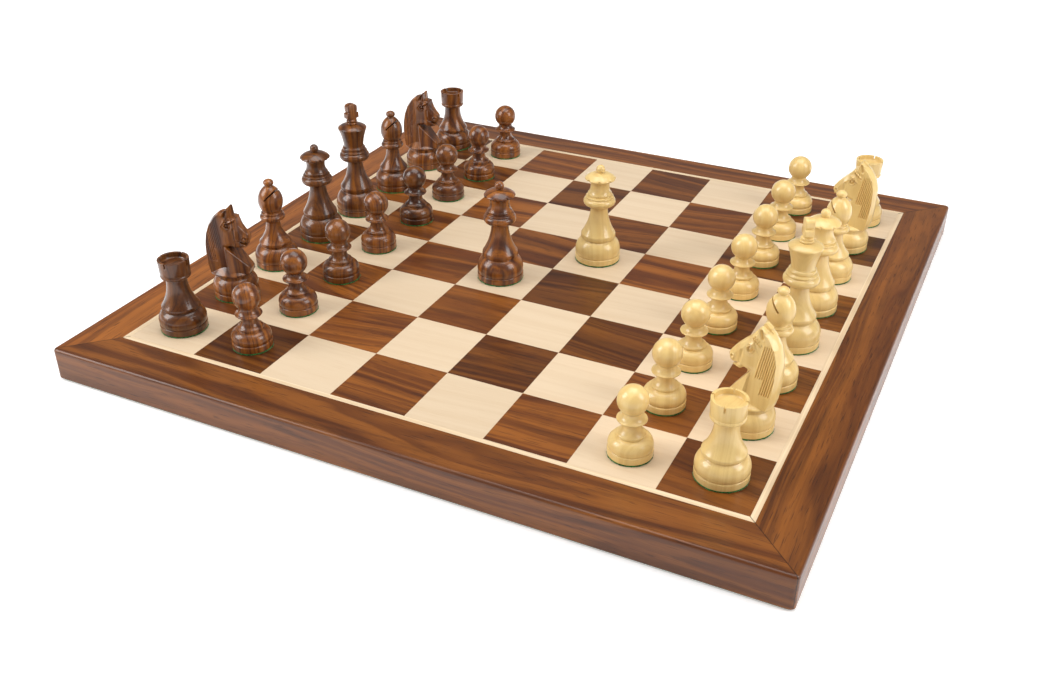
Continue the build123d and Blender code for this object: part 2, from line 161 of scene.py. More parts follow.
# %% Build the wood figure group
def make_wood_figure():
    group, given, result = new_group(
        "wood_figure",
        [
            ("Vector", "Vector", None),
            ("Pale", "Color", (0.8, 0.6, 0.4, 1)),
            ("Deep", "Color", (0.4, 0.2, 0.1, 1)),
            ("Streak", "Color", (0.1, 0.05, 0.03, 1)),
            ("Ring Width", "Float", 0.004),
            ("Sway", "Float", 0.006),
            ("Streak Share", "Float", 0.5),
            ("Fibre Share", "Float", 0.2),
            ("Pore Share", "Float", 0.5),
        ],
        [("Color", "Color", None), ("Pores", "Float", None), ("Fibres", "Float", None)],
    )
    along = vector_calc(group, "MULTIPLY", given["Vector"], (1, 1, 0.12))
    wander = noise(group, along, 28.0, 2.0)["Color"]
    centred = vector_calc(group, "SUBTRACT", wander, (0.5, 0.5, 0.5))
    bent = vector_calc(group, "ADD", along, scaled(group, centred, given["Sway"]))
    from_pith = length_of(group, vector_calc(group, "MULTIPLY", bent, (1, 1, 0)))
    ring_place = calc(group, "DIVIDE", from_pith, given["Ring Width"])
    ring_feeds = {"W": ring_place, "Scale": 1.0, "Detail": 3.0, "Roughness": 0.62}
    rings = wire(group, "ShaderNodeTexNoise", ring_feeds, noise_dimensions="1D").outputs["Fac"]
    long_way = vector_calc(group, "MULTIPLY", bent, (1, 1, 0.22))
    streaks = noise(group, long_way, 190.0, 4.0, Roughness=0.6)["Fac"]
    fibres = noise(group, long_way, 1500.0, 2.0)["Fac"]
    short_way = vector_calc(group, "MULTIPLY", along, (1, 1, 0.5))
    dashes = noise(group, short_way, 1150.0, 1.0)["Fac"]
    pores = calc(group, "MULTIPLY", ramp(group, dashes, 0.60, 0.72), given["Pore Share"])

    colour = blend_colours(group, ramp(group, rings, 0.36, 0.66), given["Pale"], given["Deep"])
    streak_line = ramp(group, calc(group, "MULTIPLY_ADD", rings, 0.35, streaks), 0.60, 0.86)
    streak_mask = calc(group, "MULTIPLY", streak_line, given["Streak Share"])
    colour = blend_colours(group, streak_mask, colour, given["Streak"])
    between_fibres = calc(group, "SUBTRACT", 0.75, fibres, clamp=True)
    fibre_dark = calc(group, "MULTIPLY", between_fibres, given["Fibre Share"])
    colour = blend_colours(group, fibre_dark, colour, given["Streak"])
    colour = blend_colours(group, pores, colour, given["Streak"])
    group.links.new(colour, result["Color"])
    group.links.new(pores, result["Pores"])
    group.links.new(fibres, result["Fibres"])
    return group


wood_figure = make_wood_figure()
print("wood figure:", len(wood_figure.nodes), "nodes")

# %% [markdown]
# ## Handling
#
# A lacquered man is touched all the time. The finish keeps faint smears where it was wiped and held,
# and a little dust of polish sits in the tool marks. Both change how sharply light is reflected and
# hardly change the colour. One group gives a roughness and a fine height for all polished wood.


# %% Build the handling group
def make_handling():
    group, given, result = new_group(
        "handling",
        [
            ("Vector", "Vector", None),
            ("Roughness", "Float", 0.3),
            ("Smear Share", "Float", 0.1),
            ("Fibres", "Float", 0.5),
            ("Pores", "Float", 0.0),
        ],
        [("Roughness", "Float", None), ("Height", "Float", None)],
    )
    smears = noise(group, given["Vector"], 65.0, 3.0, Distortion=0.6)["Fac"]
    ripple = noise(group, given["Vector"], 260.0, 1.0)["Fac"]
    smear_change = calc(group, "MULTIPLY", calc(group, "SUBTRACT", smears, 0.5), given["Smear Share"])
    rough = calc(group, "ADD", given["Roughness"], smear_change)
    rough = calc(group, "MULTIPLY_ADD", given["Pores"], 0.12, rough, clamp=True)
    height = calc(group, "MULTIPLY_ADD", given["Fibres"], 0.35, calc(group, "MULTIPLY", ripple, 0.6))
    height = calc(group, "SUBTRACT", height, calc(group, "MULTIPLY", given["Pores"], 0.8))
    group.links.new(rough, result["Roughness"])
    group.links.new(height, result["Height"])
    return group


handling = make_handling()
print("handling:", len(handling.nodes), "nodes")

# %% [markdown]
# ## One polished wood, many boards
#
# `polished_wood` joins the two groups to a Principled shader. `place_grain` is a small function that
# each kind of piece brings along: it says where the grain runs, how far along the log this piece was
# cut, and whether it is a darker or paler cut.


# %% The polished wood material
def polished_wood(name, place_grain, pale, deep, streak, ring_width, sway, shares, finish):
    """shares is (streak, fibre, pore). finish is (roughness, smears, coat, coat roughness, relief in m)."""
    material = bpy.data.materials.new(name)
    material.use_nodes = True
    tree = material.node_tree
    shader = tree.nodes["Principled BSDF"]
    grain_vector, tone = place_grain(tree)
    streak_share, fibre_share, pore_share = shares
    roughness, smears, coat, coat_roughness, relief = finish
    figure_feeds = {
        "Vector": grain_vector,
        "Pale": (*pale, 1),
        "Deep": (*deep, 1),
        "Streak": (*streak, 1),
        "Ring Width": ring_width,
        "Sway": sway,
        "Streak Share": streak_share,
        "Fibre Share": fibre_share,
        "Pore Share": pore_share,
    }
    figure = wire(tree, "ShaderNodeGroup", figure_feeds, node_tree=wood_figure)
    touch_feeds = {
        "Vector": grain_vector,
        "Roughness": roughness,
        "Smear Share": smears,
        "Fibres": figure.outputs["Fibres"],
        "Pores": figure.outputs["Pores"],
    }
    touch = wire(tree, "ShaderNodeGroup", touch_feeds, node_tree=handling)
    toned = wire(tree, "ShaderNodeHueSaturation", {"Value": tone, "Color": figure.outputs["Color"]})
    tree.links.new(toned.outputs["Color"], shader.inputs["Base Color"])
    tree.links.new(touch.outputs["Roughness"], shader.inputs["Roughness"])
    bump_feeds = {"Strength": 0.6, "Distance": relief, "Height": touch.outputs["Height"]}
    bump = wire(tree, "ShaderNodeBump", bump_feeds)
    tree.links.new(bump.outputs["Normal"], shader.inputs["Normal"])
    shader.inputs["Coat Weight"].default_value = coat
    shader.inputs["Coat Roughness"].default_value = coat_roughness
    shader.inputs["IOR"].default_value = 1.45
    shader.inputs["Specular IOR Level"].default_value = 0.35
    return material


print("polished wood ready")

# %% [markdown]
# ## Where the grain runs
#
# The sixty-four squares were cut from long strips of veneer, so the grain of each square points nearly
# the same way and yet each square has its own figure. The position on the board tells which square a
# point is in, and a white noise of that square's number gives its own shift, turn and tone. A rail is
# one length of timber with its grain along the rail. A man is turned from a square billet with the
# grain up the middle, and Object Info gives each man his own billet.


# %% Grain placements
def own_place(tree):
    return wire(tree, "ShaderNodeTexCoord").outputs["Object"]


def grain_of_squares(turn_most, tone_low, tone_high):
    """Each square of the board gets its own cut, with the grain along the files."""

    def place(tree):
        place_of = own_place(tree)
        # Half a pitch down puts the top and bottom of a square in the same cell.
        cells = vector_calc(tree, "ADD", scaled(tree, place_of, 1 / square_pitch), (100.0, 100.0, 0.25))
        chance = wire(tree, "ShaderNodeTexWhiteNoise", {"Vector": vector_calc(tree, "FLOOR", cells)})
        draws = wire(tree, "ShaderNodeSeparateColor", {0: chance.outputs["Color"]}).outputs
        angle = calc(tree, "MULTIPLY", calc(tree, "SUBTRACT", draws[0], 0.5), turn_most)
        turn_feeds = {"Vector": place_of, "Angle": angle}
        turned = wire(tree, "ShaderNodeVectorRotate", turn_feeds, rotation_type="Z_AXIS").outputs[0]
        # The grain group wants the grain along Z: x stays across, z becomes depth, y runs along.
        axes = axes_of(tree, turned)
        laid = from_axes(tree, axes[0], axes[2], axes[1])
        shift = vector_calc(tree, "MULTIPLY", chance.outputs["Color"], (0.21, 0.06, 9.0))
        moved = vector_calc(tree, "ADD", laid, shift)
        tone = graded(tree, draws[1], 0.0, 1.0, tone_low, tone_high)
        return moved, tone

    return place


def mitre_line(tree, axes):
    """1 on the wood, falling to 0.3 in the glue line where two mitred ends meet."""
    apart = calc(tree, "SUBTRACT", calc(tree, "ABSOLUTE", axes[0]), calc(tree, "ABSOLUTE", axes[1]))
    return graded(tree, calc(tree, "ABSOLUTE", apart), 0.0002, 0.0007, 0.3, 1.0)


def grain_along(axis, pith, tone):
    """One length of timber, grain along "X" or "Y". pith is (across, down) in metres."""

    def place(tree):
        axes = axes_of(tree, own_place(tree))
        along, across = (axes[0], axes[1]) if axis == "X" else (axes[1], axes[0])
        across = calc(tree, "ADD", across, pith[0])
        down = calc(tree, "ADD", axes[2], pith[1])
        return from_axes(tree, across, down, along), calc(tree, "MULTIPLY", tone, mitre_line(tree, axes))

    return place


def grain_of_ring(tone):
    """Four thin strips round the field, each with the grain along its own length."""

    def place(tree):
        axes = axes_of(tree, own_place(tree))
        on_side = calc(tree, "GREATER_THAN", calc(tree, "ABSOLUTE", axes[0]), calc(tree, "ABSOLUTE", axes[1]))
        across = between_values(tree, on_side, axes[1], axes[0])
        along = between_values(tree, on_side, axes[0], axes[1])
        laid = from_axes(tree, across, axes[2], along)
        return laid, calc(tree, "MULTIPLY", tone, mitre_line(tree, axes))

    return place


def grain_of_man(tone_low, tone_high):
    """The grain stands up through the man. Each man is a billet of his own."""

    def place(tree):
        billet = calc(tree, "MULTIPLY", wire(tree, "ShaderNodeObjectInfo").outputs["Random"], 97.0)
        chance = wire(tree, "ShaderNodeTexWhiteNoise", {"W": billet}, noise_dimensions="1D").outputs
        off_pith = (0.012, 0.012, 0.0)
        shift = vector_calc(tree, "MULTIPLY_ADD", chance["Color"], (0.05, 0.05, 3.0), off_pith)
        moved = vector_calc(tree, "ADD", own_place(tree), shift)
        tone = graded(tree, chance["Value"], 0.0, 1.0, tone_low, tone_high)
        return moved, tone

    return place


print("four ways of laying grain")

# %% [markdown]
# ## The woods
#
# The pale men are boxwood, close-grained and creamy, with hardly a pore. The dark men are golden
# rosewood with near-black streaks. The dark squares are rosewood veneer, the pale squares and the thin
# border line are maple, and the frame is walnut. Men are lacquered to a gloss, the board to a satin.

# %% Mix the woods
boxwood = polished_wood(
    "boxwood",
    grain_of_man(0.93, 1.06),
    pale=(0.800, 0.575, 0.225),
    deep=(0.755, 0.520, 0.190),
    streak=(0.52, 0.33, 0.12),
    ring_width=0.0050,
    sway=0.020,
    shares=(0.12, 0.08, 0.10),
    finish=(0.36, 0.12, 0.70, 0.16, 0.00005),
)
golden_rosewood = polished_wood(
    "golden_rosewood",
    grain_of_man(0.66, 1.24),
    pale=(0.290, 0.094, 0.013),
    deep=(0.125, 0.034, 0.007),
    streak=(0.022, 0.007, 0.005),
    ring_width=0.0070,
    sway=0.030,
    shares=(0.60, 0.25, 0.45),
    finish=(0.34, 0.12, 0.60, 0.15, 0.00006),
)
rosewood_veneer = polished_wood(
    "rosewood_veneer",
    grain_of_squares(0.36, 0.66, 1.30),
    pale=(0.245, 0.078, 0.012),
    deep=(0.115, 0.031, 0.006),
    streak=(0.026, 0.007, 0.003),
    ring_width=0.0130,
    sway=0.050,
    shares=(0.40, 0.26, 0.55),
    finish=(0.36, 0.10, 0.20, 0.20, 0.00005),
)
maple_veneer = polished_wood(
    "maple_veneer",
    grain_of_squares(0.10, 0.94, 1.05),
    pale=(0.715, 0.560, 0.385),
    deep=(0.690, 0.530, 0.355),
    streak=(0.60, 0.42, 0.25),
    ring_width=0.0075,
    sway=0.020,
    shares=(0.08, 0.12, 0.20),
    finish=(0.42, 0.10, 0.28, 0.26, 0.00004),
)
maple_line = polished_wood(
    "maple_line",
    grain_of_ring(1.0),
    pale=(0.84, 0.68, 0.47),
    deep=(0.76, 0.58, 0.37),
    streak=(0.50, 0.32, 0.17),
    ring_width=0.0030,
    sway=0.010,
    shares=(0.25, 0.16, 0.20),
    finish=(0.38, 0.10, 0.40, 0.24, 0.00005),
)


def walnut(name, axis, pith, tone):
    return polished_wood(
        name,
        grain_along(axis, pith, tone),
        pale=(0.245, 0.079, 0.013),
        deep=(0.125, 0.035, 0.007),
        streak=(0.028, 0.008, 0.003),
        ring_width=0.0120,
        sway=0.045,
        shares=(0.42, 0.28, 0.55),
        finish=(0.36, 0.10, 0.25, 0.18, 0.00006),
    )


walnut_rails = {
    "rail_front": walnut("walnut_front", "X", (0.30, 0.02), 1.0),
    "rail_left": walnut("walnut_left", "Y", (0.33, 0.03), 1.0),
    "rail_back": walnut("walnut_back", "X", (-0.20, 0.025), 1.45),
    "rail_right": walnut("walnut_right", "Y", (-0.18, 0.02), 1.1),
}
inner_wood = walnut("inner_wood", "X", (0.1, 0.01), 1.2)
print("woods:", sorted(m.name for m in bpy.data.materials))

# %% [markdown]
# ## Felt
#
# The board and every man stand on green baize. It is wool fibre pressed flat: dull, slightly mottled,
# and at a cut edge the fibres stand up and catch light. Fine noise at two scales gives the mottling
# and the nap, and a little sheen on the shader stands for the loose fibres.


# %% Mix the felt
def make_felt():
    material = bpy.data.materials.new("green_felt")
    material.use_nodes = True
    tree = material.node_tree
    shader = tree.nodes["Principled BSDF"]
    place_of = own_place(tree)
    mottle = noise(tree, place_of, 420.0, 4.0)["Fac"]
    nap = noise(tree, place_of, 3200.0, 2.0)["Fac"]
    deep_green, pale_green = (0.012, 0.095, 0.020, 1), (0.045, 0.235, 0.055, 1)
    colour = blend_colours(tree, ramp(tree, mottle, 0.35, 0.68), deep_green, pale_green)
    tree.links.new(colour, shader.inputs["Base Color"])
    height = calc(tree, "MULTIPLY_ADD", nap, 0.5, mottle)
    bump = wire(tree, "ShaderNodeBump", {"Strength": 0.9, "Distance": 0.0003, "Height": height})
    tree.links.new(bump.outputs["Normal"], shader.inputs["Normal"])
    shader.inputs["Roughness"].default_value = 0.95
    shader.inputs["Specular IOR Level"].default_value = 0.15
    shader.inputs["Sheen Weight"].default_value = 0.35
    shader.inputs["Sheen Roughness"].default_value = 0.5
    return material


green_felt = make_felt()
print("felt:", green_felt.name)

# %% [markdown]
# ## The board
#
# The rails, the core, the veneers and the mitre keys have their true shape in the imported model
# already, with rounded corners and hairline glue gaps, so they keep it and only take a finish.

# %% Finish the board
board_finish = dict(walnut_rails)
board_finish.update(
    dark_squares=rosewood_veneer,
    light_squares=maple_veneer,
    border_line=maple_line,
    base_felt=green_felt,
    core_panel=inner_wood,
    backing_veneer=inner_wood,
    mitre_biscuits=inner_wood,
)
for node_name, material in board_finish.items():
    slots = nodes[node_name].data.materials
    slots.clear()
    slots.append(material)
print("board nodes finished:", len(board_finish))

# %% [markdown]
# ## Turning an outline
#
# Pawns, rooks, bishops, queens, kings and the knights' feet are turned on a lathe. A turner follows an
# outline of beads, coves and fillets, so each man here is an outline too: (radius, height above the
# square) in millimetres. Four numbers mean an arc: a point it passes, then where it ends. The outline
# is walked in fine steps, its sharp corners are eased by a fraction of a millimetre as sandpaper does,
# and the result is spun round the axis.

# %% Walk an outline
corner_ease = 0.28
ease_over = math.radians(22)
arc_step = math.radians(7)


def arc_points(start, via, end):
    """Points along the circle through three points, without the first."""
    (ax, ay), (bx, by), (cx, cy) = start, via, end
    double_area = 2 * (ax * (by - cy) + bx * (cy - ay) + cx * (ay - by))
    a2, b2, c2 = ax * ax + ay * ay, bx * bx + by * by, cx * cx + cy * cy
    ox = (a2 * (by - cy) + b2 * (cy - ay) + c2 * (ay - by)) / double_area
    oy = (a2 * (cx - bx) + b2 * (ax - cx) + c2 * (bx - ax)) / double_area
    radius = math.hypot(ax - ox, ay - oy)
    first, middle, last = (math.atan2(y - oy, x - ox) for x, y in (start, via, end))
    whole = (last - first) % math.tau
    if (middle - first) % math.tau > whole:
        whole -= math.tau
    count = max(3, math.ceil(abs(whole) / arc_step), math.ceil(abs(whole) * radius / 0.9))
    return [
        (ox + radius * math.cos(first + whole * i / count), oy + radius * math.sin(first + whole * i / count))
        for i in range(1, count + 1)
    ]


def walk(cuts):
    points = [tuple(cuts[0])]
    for cut in cuts[1:]:
        if len(cut) == 4:
            points += arc_points(points[-1], cut[:2], cut[2:])
        else:
            points.append(tuple(cut))
    return points


def ease_corners(points):
    """Each sharp corner becomes a small three-point round."""
    eased = [points[0]]
    for before, here, after in zip(points, points[1:], points[2:]):
        here_v = Vector(here)
        back, on = Vector(before) - here_v, Vector(after) - here_v
        turn = math.pi - back.angle(on, math.pi)
        if turn < ease_over or here[0] < 0.6:
            eased.append(here)
            continue
        start = here_v + back.normalized() * min(corner_ease, 0.45 * back.length)
        end = here_v + on.normalized() * min(corner_ease, 0.45 * on.length)
        for t in (0.0, 0.33, 0.67, 1.0):
            eased.append(tuple(start.lerp(here_v, t).lerp(here_v.lerp(end, t), t)))
    eased.append(points[-1])
    return eased


sample_walk = ease_corners(walk([(9.0, 0.0), (9.0, 4.0), (12.0, 7.0, 9.0, 10.0)]))
print("a bead of", len(sample_walk), "points")

# %% [markdown]
# `spin` makes the mesh. It takes an optional `carve` function that may change the radius by angle and
# height, which is how the queen's coronet is scalloped later. Points on the axis become one vertex.


# %% Spin an outline
def spin(cuts, start_height, steps=112, carve=None):
    """Returns a bmesh in metres. start_height closes the underside at that height above the square."""
    outline = ease_corners([(0.0, start_height)] + [(walk(cuts)[0][0], start_height)] + walk(cuts))
    mesh = bmesh.new()
    rings = []
    for radius, height in outline:
        if radius < 1e-6:
            rings.append([mesh.verts.new((0, 0, height * MM))])
            continue
        ring = []
        for i in range(steps):
            angle = math.tau * i / steps
            r = carve(radius, height, angle) if carve else radius
            ring.append(mesh.verts.new((r * MM * math.cos(angle), r * MM * math.sin(angle), height * MM)))
        rings.append(ring)
    for low, high in zip(rings, rings[1:]):
        for i in range(steps):
            j = (i + 1) % steps
            if len(low) == 1 and len(high) == 1:
                break
            if len(low) == 1:
                mesh.faces.new((low[0], high[j], high[i]))
            elif len(high) == 1:
                mesh.faces.new((low[i], low[j], high[0]))
            else:
                mesh.faces.new((low[i], low[j], high[j], high[i]))
    return mesh


def to_mesh(shape, name, sharp=38):
    bmesh.ops.recalc_face_normals(shape, faces=shape.faces)
    data = bpy.data.meshes.new(name)
    shape.to_mesh(data)
    shape.free()
    data.shade_smooth()
    data.set_sharp_from_angle(angle=math.radians(sharp))
    return data


print("lathe ready")

# %% [markdown]
# ## The foot all the men share
#
# Every man stands on the same kind of foot: a short upright rim above the felt, a scratched line, a
# round swell and a long hollow up to the next bead. Only four measures differ from man to man.

# %% Feet and balls
pad_thick = 0.95


def foot(foot_r, swell_r, swell_z, hollow_r, hollow_z):
    return [
        (foot_r - 0.3, 1.0),
        (foot_r, 1.3),
        (foot_r, 5.4),
        (foot_r - 0.8, 5.8),
        (swell_r - 0.35, 6.2),
        (swell_r, swell_z, hollow_r, hollow_z),
    ]


def ball(radius, middle, neck_r):
    tip = middle + math.sqrt(radius * radius - 0.16)
    start = middle - math.sqrt(radius * radius - neck_r * neck_r)
    return [(neck_r, start), (radius, middle, 0.4, tip), (0.0, tip + 0.01)]


foot_radii = {"pawn": 14.4, "rook": 16.9, "bishop": 16.8, "knight": 16.9, "queen": 18.0, "king": 18.5}
print("foot radii in mm", foot_radii)

# %% [markdown]
# ## The pawn
#
# A plain man: foot, hollow waist, a thin collar with a sharp edge, and a ball. The lathe does it all.

# %% Turn the pawn
pawn_cuts = (
    foot(foot_radii["pawn"], 14.25, 8.4, 8.9, 14.6)
    + [(9.15, 15.0), (9.15, 16.2), (8.9, 16.6), (6.15, 19.6, 5.6, 22.6), (5.6, 24.0, 6.4, 25.5)]
    + [(9.2, 25.7), (9.55, 26.2, 9.25, 26.9), (7.1, 28.5, 6.1, 31.0)]
    + ball(9.85, 39.4, 6.0)
)
shapes = {"pawn": to_mesh(spin(pawn_cuts, pad_thick), "pawn")}
print("pawn faces", len(shapes["pawn"].polygons))

# %% [markdown]
# ## Sawing a slit
#
# The rook's battlements and the bishop's mitre are cut with a saw after turning. A Boolean modifier
# takes a thin block or a disc out of the turned mesh. The result is baked into a plain mesh, so no
# modifier is left behind.


# %% Saw helper
def sawn(data, cutters, name):
    """data minus each cutter mesh."""
    work = bpy.data.objects.new(name + "_work", data)
    bpy.context.scene.collection.objects.link(work)
    helpers = []
    for i, cutter in enumerate(cutters):
        blade = bpy.data.objects.new(f"{name}_blade_{i}", cutter)
        bpy.context.scene.collection.objects.link(blade)
        helpers.append(blade)
        cut = work.modifiers.new("cut", "BOOLEAN")
        cut.operation, cut.solver, cut.object = "DIFFERENCE", "EXACT", blade
    bpy.context.view_layer.update()
    result = bpy.data.meshes.new_from_object(work.evaluated_get(bpy.context.evaluated_depsgraph_get()))
    result.name = name
    for helper in helpers + [work]:
        bpy.data.objects.remove(helper)
    result.shade_smooth()
    result.set_sharp_from_angle(angle=math.radians(30))
    return result


def block(size, matrix):
    shape = bmesh.new()
    bmesh.ops.create_cube(shape, size=1.0, matrix=matrix @ Matrix.Diagonal((*[s * MM for s in size], 1)))
    return to_mesh(shape, "blade")


def saw_disc(radius, thick, matrix):
    shape = bmesh.new()
    bmesh.ops.create_cone(
        shape,
        cap_ends=True,
        segments=64,
        radius1=radius * MM,
        radius2=radius * MM,
        depth=thick * MM,
        matrix=matrix,
    )
    return to_mesh(shape, "blade")


print("saw ready")

# %% [markdown]
# ## The rook
#
# The tower's rim is a hollow cup. Four saw cuts are let down through its wall with a round blade, so
# that each slit is deepest outside and runs out on the way in.

# %% Turn and saw the rook
rook_cuts = foot(foot_radii["rook"], 17.0, 9.6, 12.8, 16.8) + [
    (12.9, 17.6),
    (13.8, 18.3),
    (13.6, 20.0),
    (9.1, 28.6, 7.5, 40.3),
    (7.6, 41.3, 8.1, 41.9),
    (10.3, 42.3),
    (10.8, 43.3, 10.45, 44.6),
    (10.35, 45.0),
    (10.65, 45.6),
    (11.1, 56.0),
    (9.2, 56.0),
    (9.0, 52.8),
    (8.4, 52.2),
    (0.0, 52.2),
]
kerf_wide, kerf_blade, kerf_reach, kerf_height, kerf_first = 1.2, 15.0, 21.5, 62.4, 35.0
kerfs = []
for i in range(4):
    turn = Matrix.Rotation(math.radians(kerf_first + 90 * i), 4, "Z")
    place = Matrix.Translation((kerf_reach * MM, 0, kerf_height * MM)) @ Matrix.Rotation(math.pi / 2, 4, "X")
    kerfs.append(saw_disc(kerf_blade, kerf_wide, turn @ place))
shapes["rook"] = sawn(to_mesh(spin(rook_cuts, pad_thick), "rook_blank"), kerfs, "rook")
print("rook faces", len(shapes["rook"].polygons))

# %% [markdown]
# ## The bishop
#
# The mitre is a pointed head with a flat button. One slanting saw cut opens its front.

# %% Turn and saw the bishop
bishop_cuts = foot(foot_radii["bishop"], 16.9, 9.6, 11.6, 17.6) + [
    (11.7, 18.5),
    (12.5, 19.2),
    (12.3, 20.9),
    (7.1, 29.0, 5.5, 36.5),
    (5.6, 38.2, 6.4, 39.2),
    (9.8, 41.6, 8.3, 43.6),
    (8.0, 44.0),
    (8.35, 44.8, 7.6, 45.7),
    (6.9, 46.2),
    (9.55, 56.4, 3.0, 67.0),
    (2.9, 67.5),
    (4.05, 69.6, 2.9, 71.5),
    (1.8, 72.15, 0.4, 72.5),
    (0.0, 72.5),
]
slit_wide, slit_reach, slit_slope, slit_start = 1.2, 24.0, 48.0, (0.2, 57.2)
slit_turn = Matrix.Rotation(-math.radians(slit_slope), 4, "Y")
slit_place = Matrix.Translation((slit_start[0] * MM, 0, slit_start[1] * MM)) @ slit_turn
slit_out = Matrix.Translation((slit_reach / 2 * MM, 0, 0))
slit_block = block((slit_reach, 30.0, slit_wide), slit_place @ slit_out)
shapes["bishop"] = sawn(to_mesh(spin(bishop_cuts, pad_thick), "bishop_blank"), [slit_block], "bishop")
print("bishop faces", len(shapes["bishop"].polygons))

# %% [markdown]
# ## The queen
#
# Eight round scoops are filed down the rim of her crown. The scoop is a cylinder that stands just
# outside the rim, so the spun radius is cut back wherever a ray from the axis meets that cylinder.
# Doing this while spinning keeps the mesh clean.

# %% Turn the queen
queen_cuts = (
    foot(foot_radii["queen"], 17.9, 10.4, 13.0, 19.0)
    + [(13.1, 19.8), (13.9, 20.4), (13.7, 23.2), (9.1, 32.5, 6.6, 46.6), (6.7, 47.4, 7.4, 48.0)]
    + [(12.6, 51.2, 10.9, 53.6), (10.6, 53.9), (11.0, 54.6, 10.4, 55.4), (9.2, 56.0)]
    + [(9.6, 57.1, 9.0, 58.2), (7.6, 61.6, 8.3, 67.6), (12.15, 69.6), (11.95, 70.4)]
    + [(8.2, 73.0, 3.0, 74.2), (2.6, 74.5)]
    + ball(3.5, 77.0, 2.5)
)
scoop_count, scoop_radius, scoop_middle, scoop_floor = 8, 1.5, 12.75, 66.6


def scalloped(radius, height, angle):
    if height < scoop_floor or radius < 8.0:
        return radius
    off = (angle * scoop_count / math.tau) % 1.0
    off = min(off, 1.0 - off) * math.tau / scoop_count
    aside = scoop_middle * math.sin(off)
    if aside >= scoop_radius:
        return radius
    return min(radius, scoop_middle * math.cos(off) - math.sqrt(scoop_radius**2 - aside**2))


shapes["queen"] = to_mesh(spin(queen_cuts, pad_thick, steps=192, carve=scalloped), "queen")
print("queen faces", len(shapes["queen"].polygons))

# %% [markdown]
# ## The king
#
# His crown is an upturned cone under a low dome, with two small rings on it. The cross is a flat
# piece with waisted arms, sawn from thin stock and glued on. Its outline is drawn once, given a
# thickness, and its edges are eased with a bevel.

# %% Turn the king and saw his cross
king_cuts = foot(foot_radii["king"], 18.5, 10.6, 13.1, 20.0) + [
    (13.1, 21.4),
    (14.0, 22.2),
    (13.8, 24.4),
    (9.2, 32.6, 6.4, 47.2),
    (6.5, 48.1, 7.2, 48.7),
    (12.7, 51.8, 11.0, 54.4),
    (10.7, 54.7),
    (11.1, 55.6, 10.4, 56.6),
    (9.3, 57.2),
    (9.7, 58.4, 9.1, 59.6),
    (8.3, 60.1),
    (8.3, 61.4),
    (9.6, 68.6, 12.1, 76.0),
    (11.8, 76.8),
    (8.4, 78.7, 4.0, 79.4),
    (0.0, 79.4),
]
shapes["king"] = to_mesh(spin(king_cuts, pad_thick), "king")

cross_rings = [
    (4.0, 79.4),
    (4.9, 80.3, 4.2, 81.2),
    (3.6, 81.6),
    (4.5, 82.4, 3.9, 83.2),
    (3.4, 83.8),
    (0.0, 83.8),
]
cross_stem = [(3.3, 83.4), (3.3, 84.5)]
cross_arm = [(5.5, 84.9), (5.5, 89.2)]
cross_head = [(3.6, 89.9), (4.4, 91.2), (4.4, 95.0), (3.4, 96.3), (1.8, 96.85)]
cross_top = 97.0
cross_thick = 6.2
cross_ease = 0.45


def joined(shape, other):
    """Adds the faces of another bmesh to this one and frees the other."""
    holder = bpy.data.meshes.new("holder")
    other.to_mesh(holder)
    other.free()
    shape.from_mesh(holder)
    bpy.data.meshes.remove(holder)
    return shape


def make_cross():
    right = cross_stem + cross_arm + cross_head
    loop = right + [(0.0, cross_top)] + [(-y, z) for y, z in reversed(right)]
    arms = bmesh.new()
    front = arms.faces.new([arms.verts.new((-cross_thick / 2 * MM, y * MM, z * MM)) for y, z in loop])
    grown = bmesh.ops.extrude_face_region(arms, geom=[front])["geom"]
    far_side = [item for item in grown if isinstance(item, bmesh.types.BMVert)]
    bmesh.ops.translate(arms, vec=(cross_thick * MM, 0, 0), verts=far_side)
    bmesh.ops.recalc_face_normals(arms, faces=arms.faces)
    bmesh.ops.bevel(
        arms,
        geom=arms.edges[:] + arms.verts[:],
        offset=cross_ease * MM,
        segments=3,
        profile=0.5,
        affect="EDGES",
        clamp_overlap=True,
    )
    return to_mesh(joined(spin(cross_rings, cross_rings[0][1] - 0.2, steps=64), arms), "cross")


shapes["cross"] = make_cross()
print("king faces", len(shapes["king"].polygons), "cross faces", len(shapes["cross"].polygons))

# %% [markdown]
# ## The knight, part one: his outline
#
# A knight is not turned. His head is sawn from a flat slab along a side outline and then carved in low
# relief on both faces. The same order works here. First the outline, as (forward, height) points in
# millimetres: smooth curves for the back and the nose, straight knife cuts for ears, mouth and chest.


# %% Draw the knight's outline
def curve_between(a, b, c, d, t):
    """Where a Catmull-Rom curve through a, b, c and d is, a share t of the way from b to c."""
    square, cube = t * t, t**3
    return tuple(
        0.5 * (2 * q + (r - p) * t + (2 * p - 5 * q + 4 * r - s) * square + (3 * q - p - 3 * r + s) * cube)
        for p, q, r, s in zip(a, b, c, d)
    )


def smooth_run(points, step=0.35):
    padded = [points[0]] + points + [points[-1]]
    run = [points[0]]
    for a, b, c, d in zip(padded, padded[1:], padded[2:], padded[3:]):
        count = max(2, round(math.dist(b, c) / step))
        run += [curve_between(a, b, c, d, i / count) for i in range(1, count + 1)]
    return run


def straight_run(points, step=0.35):
    run = [points[0]]
    for a, b in zip(points, points[1:]):
        count = max(1, round(math.dist(a, b) / step))
        across, up = (b[0] - a[0]) / count, (b[1] - a[1]) / count
        run += [(a[0] + across * i, a[1] + up * i) for i in range(1, count + 1)]
    return run


